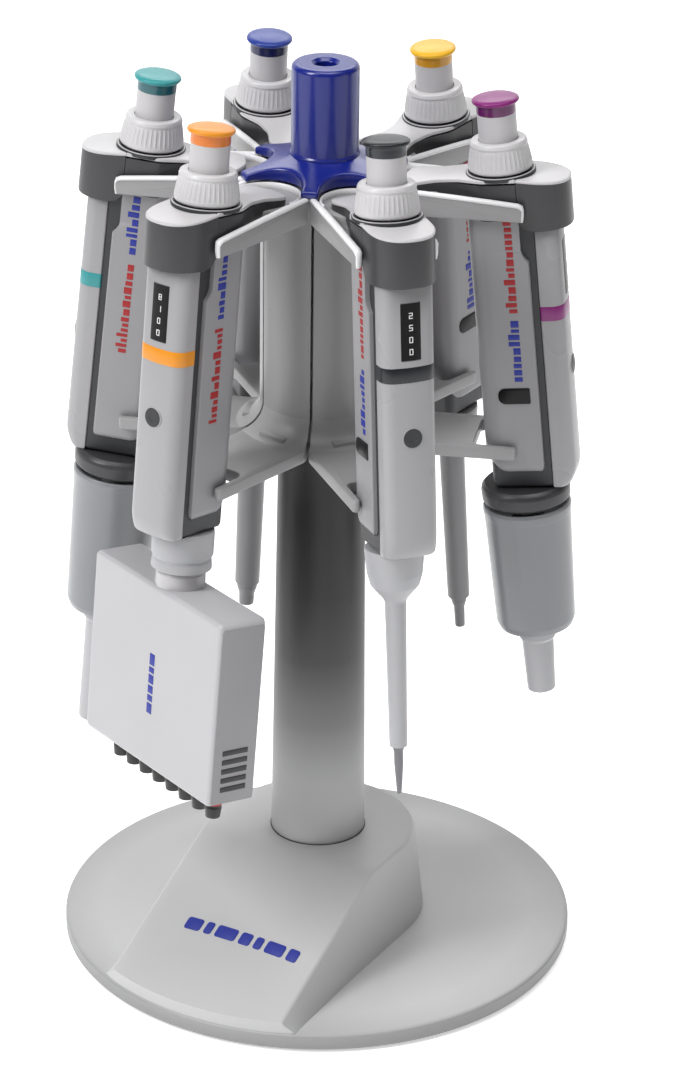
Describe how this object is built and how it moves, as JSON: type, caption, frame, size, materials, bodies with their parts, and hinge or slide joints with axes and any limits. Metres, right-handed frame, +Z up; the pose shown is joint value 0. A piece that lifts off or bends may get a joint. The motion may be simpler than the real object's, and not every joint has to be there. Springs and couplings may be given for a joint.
{
  "type": "pipette set on a rotating stand",
  "caption": "Hand pipettes, one with a multichannel head, hanging upright round a rotating bench stand with a ramped round base, column, star cap and carrying handle.",
  "frame": {"origin": "centre of the stand's underside", "axes": "+Z up along the column; -Y towards the low front end of the base ramp; +X to the right seen from that front"},
  "size_m": [0.2, 0.2123, 0.3575],
  "materials": {
    "pale_plastic": "satin",
    "white_plastic": "satin",
    "dark_plastic": "satin",
    "hood_plastic": "satin",
    "star_plastic": "semi-gloss",
    "plate_steel": "coated ballast plate",
    "foot_rubber": "matt",
    "rod_steel": "zinc plated",
    "bearing_plastic": "natural",
    "cone_plastic": "satin black",
    "orange_accent": "satin",
    "grey_accent": "satin",
    "purple_accent": "satin",
    "yellow_accent": "satin",
    "blue_accent": "satin",
    "teal_accent": "satin"
  },
  "bodies": {
    "stand": {"base_shell": "pale_plastic", "base_plate": "plate_steel", "base_feet": "foot_rubber", "column_tube": "pale_plastic", "tie_rod": "rod_steel"},
    "rotor": {"hub_core": "white_plastic", "hub_bearings": "bearing_plastic", "pipette_holders": "white_plastic", "star_cap": "star_plastic", "carry_handle": "star_plastic"},
    "orange_body": {"orange_shells": "white_plastic", "orange_core": "dark_plastic", "orange_trim": "orange_accent", "orange_lower": "dark_plastic"},
    "orange_push": {"orange_button": "orange_accent", "orange_plunger": "pale_plastic"},
    "orange_ring": {"orange_dial": "pale_plastic"},
    "orange_eject": {"orange_ejector": "hood_plastic"},
    "grey_body": {"grey_shells": "white_plastic", "grey_core": "dark_plastic", "grey_trim": "grey_accent", "grey_lower": "dark_plastic"},
    "grey_push": {"grey_button": "grey_accent", "grey_plunger": "pale_plastic"},
    "grey_ring": {"grey_dial": "pale_plastic"},
    "grey_eject": {"grey_ejector": "hood_plastic"},
    "purple_body": {"purple_shells": "white_plastic", "purple_core": "dark_plastic", "purple_trim": "purple_accent", "purple_lower": "dark_plastic"},
    "purple_push": {"purple_button": "purple_accent", "purple_plunger": "pale_plastic"},
    "purple_ring": {"purple_dial": "pale_plastic"},
    "purple_eject": {"purple_ejector": "hood_plastic"},
    "yellow_body": {"yellow_shells": "white_plastic", "yellow_core": "dark_plastic", "yellow_trim": "yellow_accent", "yellow_lower": "dark_plastic"},
    "yellow_push": {"yellow_button": "yellow_accent", "yellow_plunger": "pale_plastic"},
    "yellow_ring": {"yellow_dial": "pale_plastic"},
    "yellow_eject": {"yellow_ejector": "hood_plastic"},
    "blue_body": {"blue_shells": "white_plastic", "blue_core": "dark_plastic", "blue_trim": "blue_accent", "blue_lower": "dark_plastic"},
    "blue_push": {"blue_button": "blue_accent", "blue_plunger": "pale_plastic"},
    "blue_ring": {"blue_dial": "pale_plastic"},
    "blue_eject": {"blue_ejector": "hood_plastic"},
    "teal_body": {"teal_shells": "white_plastic", "teal_core": "dark_plastic", "teal_trim": "teal_accent", "teal_lower": "dark_plastic"},
    "teal_push": {"teal_button": "teal_accent", "teal_plunger": "pale_plastic"},
    "teal_ring": {"teal_dial": "pale_plastic"},
    "teal_eject": {"teal_ejector": "hood_plastic"},
    "orange_head": {"orange_manifold": "pale_plastic", "orange_cones": "cone_plastic"}
  },
  "joints": [
    {"name": "rotor_spin", "type": "hinge", "parent": "stand", "child": "rotor", "pos_m": [0, 0, 0.3], "axis": [0, 0, 1], "continuous": true},
    {"name": "orange_lift", "type": "slide", "parent": "rotor", "child": "orange_body", "axis": [-0.1228, -0.6964, 0.7071], "range_m": [0, 0.06]},
    {"name": "orange_press", "type": "slide", "parent": "orange_body", "child": "orange_push", "axis": [-0.0182, -0.1029, -0.9945], "range_m": [0, 0.012]},
    {"name": "orange_setting", "type": "hinge", "parent": "orange_body", "child": "orange_ring", "pos_m": [-0.01113, -0.06312, 0.32911], "axis": [0.0182, 0.1029, 0.9945], "continuous": true},
    {"name": "orange_eject_slide", "type": "slide", "parent": "orange_body", "child": "orange_eject", "axis": [-0.0182, -0.1029, -0.9945], "range_m": [0, 0.007]},
    {"name": "grey_lift", "type": "slide", "parent": "rotor", "child": "grey_body", "axis": [0.5417, -0.4545, 0.7071], "range_m": [0, 0.06]},
    {"name": "grey_press", "type": "slide", "parent": "grey_body", "child": "grey_push", "axis": [0.0801, -0.0672, -0.9945], "range_m": [0, 0.012]},
    {"name": "grey_setting", "type": "hinge", "parent": "grey_body", "child": "grey_ring", "pos_m": [0.0491, -0.0412, 0.32911], "axis": [-0.0801, 0.0672, 0.9945], "continuous": true},
    {"name": "grey_eject_slide", "type": "slide", "parent": "grey_body", "child": "grey_eject", "axis": [0.0801, -0.0672, -0.9945], "range_m": [0, 0.007]},
    {"name": "purple_lift", "type": "slide", "parent": "rotor", "child": "purple_body", "axis": [0.6645, 0.2418, 0.7071], "range_m": [0, 0.06]},
    {"name": "purple_press", "type": "slide", "parent": "purple_body", "child": "purple_push", "axis": [0.0982, 0.0358, -0.9945], "range_m": [0, 0.012]},
    {"name": "purple_setting", "type": "hinge", "parent": "purple_body", "child": "purple_ring", "pos_m": [0.06023, 0.02192, 0.32911], "axis": [-0.0982, -0.0358, 0.9945], "continuous": true},
    {"name": "purple_eject_slide", "type": "slide", "parent": "purple_body", "child": "purple_eject", "axis": [0.0982, 0.0358, -0.9945], "range_m": [0, 0.007]},
    {"name": "yellow_lift", "type": "slide", "parent": "rotor", "child": "yellow_body", "axis": [0.1228, 0.6964, 0.7071], "range_m": [0, 0.06]},
    {"name": "yellow_press", "type": "slide", "parent": "yellow_body", "child": "yellow_push", "axis": [0.0182, 0.1029, -0.9945], "range_m": [0, 0.012]},
    {"name": "yellow_setting", "type": "hinge", "parent": "yellow_body", "child": "yellow_ring", "pos_m": [0.01113, 0.06312, 0.32911], "axis": [-0.0182, -0.1029, 0.9945], "continuous": true},
    {"name": "yellow_eject_slide", "type": "slide", "parent": "yellow_body", "child": "yellow_eject", "axis": [0.0182, 0.1029, -0.9945], "range_m": [0, 0.007]},
    {"name": "blue_lift", "type": "slide", "parent": "rotor", "child": "blue_body", "axis": [-0.5417, 0.4545, 0.7071], "range_m": [0, 0.06]},
    {"name": "blue_press", "type": "slide", "parent": "blue_body", "child": "blue_push", "axis": [-0.0801, 0.0672, -0.9945], "range_m": [0, 0.012]},
    {"name": "blue_setting", "type": "hinge", "parent": "blue_body", "child": "blue_ring", "pos_m": [-0.0491, 0.0412, 0.32911], "axis": [0.0801, -0.0672, 0.9945], "continuous": true},
    {"name": "blue_eject_slide", "type": "slide", "parent": "blue_body", "child": "blue_eject", "axis": [-0.0801, 0.0672, -0.9945], "range_m": [0, 0.007]},
    {"name": "teal_lift", "type": "slide", "parent": "rotor", "child": "teal_body", "axis": [-0.6645, -0.2418, 0.7071], "range_m": [0, 0.06]},
    {"name": "teal_press", "type": "slide", "parent": "teal_body", "child": "teal_push", "axis": [-0.0982, -0.0358, -0.9945], "range_m": [0, 0.012]},
    {"name": "teal_setting", "type": "hinge", "parent": "teal_body", "child": "teal_ring", "pos_m": [-0.06023, -0.02192, 0.32911], "axis": [0.0982, 0.0358, 0.9945], "continuous": true},
    {"name": "teal_eject_slide", "type": "slide", "parent": "teal_body", "child": "teal_eject", "axis": [-0.0982, -0.0358, -0.9945], "range_m": [0, 0.007]},
    {"name": "orange_head_swivel", "type": "hinge", "parent": "orange_body", "child": "orange_head", "pos_m": [-0.0144, -0.08165, 0.1501], "axis": [0.0182, 0.1029, 0.9945], "continuous": true}
  ]
}
